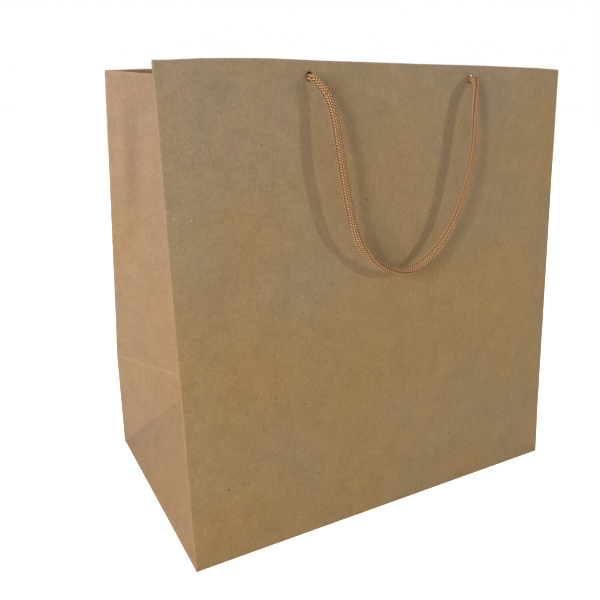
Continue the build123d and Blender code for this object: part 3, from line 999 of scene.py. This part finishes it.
for side, word in ((-1, "left"), (1, "right")):
    seed = 31.0 if side < 0 else 57.0

    # ---- front half
    rows = np.concatenate([np.linspace(0.5, 81.0, 26), np.linspace(81.0, H - HEM_G / 2, 70)[1:]])
    us = shares(88.0)
    G = sheet_grid(fold_front(side, rows), centre(side, rows), us)
    N = gusset_normals(G)
    want = np.array((side * 0.8, 0.0, 0.0)) + np.array((0.0, 0.6, 0.0))
    if (N.reshape(-1, 3) @ want).mean() < 0:
        N = -N
    uu, vv = np.meshgrid(us, rows)
    fade = np.sin(np.pi * uu) ** 1.3 * smooth((vv - 20) / 60)
    bulge = 2.4 * fade * smooth((vv - 60) / 120) * (0.6 + 0.4 * soft(uu * 70, vv, 80, seed)) + fade * (1.1 * soft(uu * 70, vv, 60, seed + 1) + 0.35 * soft(uu * 70, vv, 24, seed + 2))
    bulge -= 0.0
    G = G - N * (bulge[..., None] * 0.6)
    flip = np.cross(G[1, 1] - G[1, 0], G[2, 0] - G[1, 0]) @ N[1, 0] < 0
    F = grid_faces(len(rows), len(us), flip)
    P = G.reshape(-1, 3)
    wd_ = fold_wear_and_highlight(uu * 88.0) * 0.35 + fold_wear_and_highlight((1 - uu) * 88.0) * 0.7 + fold_wear_and_highlight(H - vv)
    P2, F2 = thick(P, F)
    w_ = np.clip(wd_.ravel(), 0, 1)
    o = piece(f"{word}_gusset_front_half_paper", P2, F2, KRAFT_SIDE_PAINTED_LIGHTER, np.concatenate([w_, w_ * 0.3]))
    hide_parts(f"{word}_gusset_front_half")
    low_rows = rows <= 81.001
    edge_f = G[low_rows, -1].copy()
    toward = G[low_rows, -5] - G[low_rows, -1]
    reach_f = np.linalg.norm(G[low_rows, 0] - G[low_rows, -1], axis=1)
    toward /= np.linalg.norm(toward, axis=1, keepdims=True)
    flap_f = (edge_f, toward * np.minimum(3.6, reach_f * 0.4)[:, None], N[low_rows, -1].copy())
    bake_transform(o)

    # its hem
    top = G[-1]
    outs = N[-1]
    ups = G[-1] - G[-2]
    ups /= np.linalg.norm(ups, axis=1, keepdims=True)
    down = [(G[k], N[k]) for k in range(len(rows) - 2, -1, -1) if rows[k] > H - HEM]
    hp, hf, hw__ = hem_piece("", top, ups, outs, down, HEM_G, KRAFT_SIDE_PAINTED_LIGHTER)
    hf = [tuple(reversed(f)) for f in hf] if np.cross(hp[hf[0][1]] - hp[hf[0][0]], hp[hf[0][3]] - hp[hf[0][0]]) @ outs[0] < 0 else hf
    hp, hf = thick(hp, hf, 0.25)
    o = piece(f"{word}_rim_hem_front_paper", hp, hf, KRAFT_SIDE_PAINTED_LIGHTER, np.concatenate([hw__, hw__ * 0]))
    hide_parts(f"{word}_rim_hem_front")
    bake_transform(o)

    # ---- rear half above the crease
    rows = CREASE + np.concatenate([[0.0, 0.5, 1.2, 2.4], np.linspace(5.0, 223.0 - HEM_G / 2, 82)])
    us = shares(92.0)
    kk = ((rows - CREASE) / 223.0)[:, None]
    inner = world(side, GP + (GT - GP) * kk)
    G = sheet_grid(inner, fold_back(side, rows), us)
    N = gusset_normals(G)
    want = np.array((side * 0.8, -0.6, 0.0))
    if (N.reshape(-1, 3) @ want).mean() < 0:
        N = -N
    uu, vv = np.meshgrid(us, rows)
    fade = np.sin(np.pi * np.clip(uu, 0, 1)) ** 0.9 * smooth((vv - CREASE) / 30)
    calm = 1 - 0.5 * smooth((vv - 262) / 20)
    bulge = fade * calm * (0.9 * soft(uu * 80, vv, 70, seed + 5) + 0.45 * soft(uu * 80, vv, 28, seed + 6) + 0.1 * soft(uu * 80, vv, 11, seed + 8))
    # a standing strip beside the back fold, and a shallow dent with a soft wrinkle under it
    bulge += 1.6 * np.exp(-(((uu - 0.86) * 92 / 7.0) ** 2)) * smooth((vv - 150) / 60) * smooth((320 - vv) / 60)
    bulge -= 1.9 * np.exp(-(((uu - 0.74) * 92 / 9.0) ** 2)) * np.exp(-(((vv - 240) / 30.0) ** 2))
    k_ = (vv - 176.0) - (0.98 - uu) * 92 * 0.62
    bulge -= 1.7 * np.exp(-((k_ / 5.0) ** 2)) * smooth((uu - 0.5) / 0.3) * (uu < 1.01) * np.sin(np.pi * np.clip(uu, 0, 1)) ** 0.5
    bulge += 1.3 * np.exp(-(((uu - 0.35) * 92 / 18.0) ** 2)) * np.exp(-(((vv - 195) / 36.0) ** 2))
    G = G + N * bulge[..., None]
    flip = np.cross(G[5, 6] - G[5, 5], G[6, 5] - G[5, 5]) @ N[5, 5] < 0
    F = grid_faces(len(rows), len(us), flip)
    P = G.reshape(-1, 3)
    wd_ = fold_wear_and_highlight((1 - uu) * 92.0) + fold_wear_and_highlight(uu * 92.0) * 0.7 + fold_wear_and_highlight(H - vv) + fold_wear_and_highlight((vv - CREASE) * 0.8) * 0.9
    P2, F2 = thick(P, F)
    w_ = np.clip(wd_.ravel(), 0, 1)
    o = piece(f"{word}_gusset_back_half_paper", P2, F2, KRAFT_SIDE_PAINTED_LIGHTER, np.concatenate([w_, w_ * 0.3]))
    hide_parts(f"{word}_gusset_back_half")
    toward = G[4] - G[0]
    toward /= np.linalg.norm(toward, axis=1, keepdims=True)
    share = np.sin(np.pi * np.clip(us, 0, 1)) ** 0.5
    flap_b = (G[0].copy(), toward * (0.3 + 3.6 * share)[:, None], N[0].copy())
    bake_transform(o)

    top = G[-1]
    outs = N[-1]
    ups = G[-1] - G[-2]
    ups /= np.linalg.norm(ups, axis=1, keepdims=True)
    down = [(G[k], N[k]) for k in range(len(rows) - 2, -1, -1) if rows[k] > H - HEM]
    hp, hf, hw__ = hem_piece("", top, ups, outs, down, HEM_G, KRAFT_SIDE_PAINTED_LIGHTER)
    hf = [tuple(reversed(f)) for f in hf] if np.cross(hp[hf[0][1]] - hp[hf[0][0]], hp[hf[0][3]] - hp[hf[0][0]]) @ outs[0] < 0 else hf
    hp, hf = thick(hp, hf, 0.25)
    o = piece(f"{word}_rim_hem_back_paper", hp, hf, KRAFT_SIDE_PAINTED_LIGHTER, np.concatenate([hw__, hw__ * 0]))
    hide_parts(f"{word}_rim_hem_back")
    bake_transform(o)

    # ---- the two triangles that stand on the base
    for name, c0, c1, over in (("base", GA, GB, 3.5), ("back", GB, GQ, 0.0)):
        nr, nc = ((40, 60))
        rr = np.concatenate([[0.0, 0.012, 0.03, 0.06], np.linspace(0.1, 0.94, nr), [0.97, 0.988, 1.0]])
        if name == "base":
            low0 = world(side, GA + np.array((0.35, 0.3, 0.35)))
            low1 = world(side, GB + np.array((0.35, -0.3, 0.35)))
        else:
            low0 = fold_back(side, np.array([0.3]))[0]
            low1 = fold_back(side, np.array([79.9]))[0]
        apex = world(side, GP)
        G = []
        for r_ in rr:
            cc = np.concatenate([[0.0, 0.006, 0.015, 0.03], np.linspace(0.05, 0.95, nc), [0.97, 0.985, 0.994, 1.0]])
            left = low0 + (apex - low0) * r_
            right = low1 + (apex - low1) * r_
            G.append(left[None] + (right - left)[None] * cc[:, None])
        G = np.array(G)
        n = np.cross(low1 - low0, apex - low0)
        n /= np.linalg.norm(n)
        if n @ np.array((side, 0, 0.2)) < 0:
            n = -n
        cc, r2 = np.meshgrid(cc, rr)
        fade = np.sin(np.pi * cc) * np.sin(np.pi * np.clip(r2, 0, 1)) ** 0.7
        G = G + n * (fade * (0.8 * soft(cc * 120, r2 * 70, 55, seed + (9 if name == "base" else 12)) + 0.3))[..., None]
        flip = np.cross(G[3, 4] - G[3, 3], G[4, 3] - G[3, 3]) @ n < 0
        F = grid_faces(len(rr), G.shape[1], flip)
        P = G.reshape(-1, 3)
        # the last row is one point: weld it
        nc_ = G.shape[1]
        last = (len(rr) - 1) * nc_
        F = [tuple(last if i > last else i for i in f) for f in F]
        F = [tuple(dict.fromkeys(f)) for f in F]
        F = [f for f in F if len(f) > 2]
        P = P[: last + 1]
        span = np.linalg.norm(low1 - low0)
        hgt = np.linalg.norm(apex - (low0 + low1) / 2)
        d0 = cc * (1 - r2) * span * 0.8
        d1 = (1 - cc) * (1 - r2) * span * 0.8
        w_ = np.clip(fold_wear_and_highlight(d0) * 0.45 + fold_wear_and_highlight(d1) * 0.45 + fold_wear_and_highlight(r2 * hgt) * 0.5, 0, 1).ravel()[: last + 1]
        P2, F2 = thick(P, F)
        # a narrow lap behind the crease keeps it closed when the neighbour moves
        edge, out_, nn = flap_f if name == "base" else flap_b
        lap = np.vstack([edge - nn * 0.36, edge + out_ * 0.5 - nn * 0.38, edge + out_ - nn * 0.40])
        m_ = len(edge)
        LF = [(k * m_ + q, k * m_ + q + 1, (k + 1) * m_ + q + 1, (k + 1) * m_ + q) for k in range(2) for q in range(m_ - 1)]
        a_, b_, c_ = (lap[LF[m_ // 2][k]] for k in (0, 1, 3))
        if np.cross(b_ - a_, c_ - a_) @ nn[m_ // 2] < 0:
            LF = [tuple(reversed(f)) for f in LF]
        L2, LF2 = thick(lap, LF, 0.22)
        F2 = F2 + [tuple(i + len(P2) for i in f) for f in LF2]
        P2 = np.vstack([P2, L2])
        w2_ = np.concatenate([w_, w_ * 0.3, np.zeros(len(L2))])
        o = piece(f"{word}_gusset_{name}_triangle_paper", P2, F2, KRAFT_SIDE_PAINTED_LIGHTER, w2_)
        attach(o, "base")
        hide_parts(f"{word}_gusset_{name}_triangle")


# ---------------------------------------------------------------- CAD nodes that stay
def coat(node, mat):
    o = frame["nodes"][node]
    if not o.material_slots:
        o.data.materials.append(mat)
    for slot_ in o.material_slots:
        slot_.link = "OBJECT"
        slot_.material = mat


for node in ("bottom_flap_front", "bottom_flap_back", "bottom_flap_left", "bottom_flap_right"):
    coat(node, KRAFT)
coat("base_board", GREY)

# ---------------------------------------------------------------- studio
stage_t = Tree("studio_floor")
stage_t.bsdf.inputs["Base Color"].default_value = (0.93, 0.93, 0.92, 1)
stage_t.bsdf.inputs["Roughness"].default_value = 0.9
glow = stage_t.new("ShaderNodeEmission")
glow.inputs[0].default_value = (1, 1, 1, 1)
glow.inputs[1].default_value = 0.93
both = stage_t.new("ShaderNodeAddShader")
stage_t.link(stage_t.bsdf.outputs[0], both.inputs[0])
stage_t.link(glow.outputs[0], both.inputs[1])
seen = stage_t.new("ShaderNodeLightPath")
pick_ = stage_t.new("ShaderNodeMixShader")
stage_t.link(seen.outputs["Is Camera Ray"], pick_.inputs[0])
stage_t.link(stage_t.bsdf.outputs[0], pick_.inputs[1])
stage_t.link(both.outputs[0], pick_.inputs[2])
stage_t.link(pick_.outputs[0], stage_t.out.inputs[0])
me = bpy.data.meshes.new("studio_floor")
me.from_pydata([(-9, -9, 0), (9, -9, 0), (9, 9, 0), (-9, 9, 0)], [], [(0, 1, 2, 3)])
me.materials.append(stage_t.mat)
floor = link(bpy.data.objects.new("studio_floor", me))
floor.location.z = -0.0003

w = bpy.data.worlds.new("studio")
scene.world = w
w.use_nodes = True
nt = w.node_tree
nt.nodes.clear()
wo = nt.nodes.new("ShaderNodeOutputWorld")
bg = nt.nodes.new("ShaderNodeBackground")
bg.inputs[0].default_value = (1.0, 1.0, 1.0, 1)
bg.inputs[1].default_value = 0.07
bg2 = nt.nodes.new("ShaderNodeBackground")
bg2.inputs[0].default_value = (1, 1, 1, 1)
bg2.inputs[1].default_value = 1.0
lp = nt.nodes.new("ShaderNodeLightPath")
mx = nt.nodes.new("ShaderNodeMixShader")
nt.links.new(lp.outputs["Is Camera Ray"], mx.inputs[0])
nt.links.new(bg.outputs[0], mx.inputs[1])
nt.links.new(bg2.outputs[0], mx.inputs[2])
nt.links.new(mx.outputs[0], wo.inputs[0])


def lamp(name, direction, dist, size, power, colour=(1, 1, 1), target=(0, 0, 0.15)):
    d = Vector(direction).normalized()
    data = bpy.data.lights.new(name, "AREA")
    data.shape = "SQUARE"
    data.size = size
    data.energy = power
    data.color = colour
    o = link(bpy.data.objects.new(name, data))
    o.location = Vector(target) + d * dist
    o.rotation_euler = (-d).to_track_quat("-Z", "Y").to_euler()
    return o


# two small lamps throw the cord's two shadows, the rest is soft
lamp("side_right", (0.766, -0.607, 0.214), 2.2, 0.04, 12.4, (1.0, 1.0, 0.90))
lamp("key_left", (-0.804, -0.444, 0.396), 2.2, 0.08, 8.6, (0.90, 1.0, 1.06))
lamp("window_left", (-0.88, -0.44, 0.16), 1.5, 0.8, 15.8, (1.0, 0.965, 0.97), target=(-0.1, 0, 0.22))
lamp("cool_top", (0.0, -0.63, 0.76), 0.40, 0.35, 0.26, (0.35, 0.6, 1.0), target=(0.10, -0.07, 0.30))
lamp("overhead", (0.05, 0.10, 1.0), 2.4, 1.2, 17.0, (1.0, 0.98, 0.96), target=(0, 0, 0.2))
lamp("back_fill", (0.5, 0.85, 0.35), 2.4, 1.2, 30.0, (1.0, 0.93, 0.88), target=(0, 0, 0.2))

scene.view_settings.view_transform = "Standard"
scene.view_settings.look = "None"
scene.view_settings.exposure = 0.0
scene.view_settings.gamma = 1.0
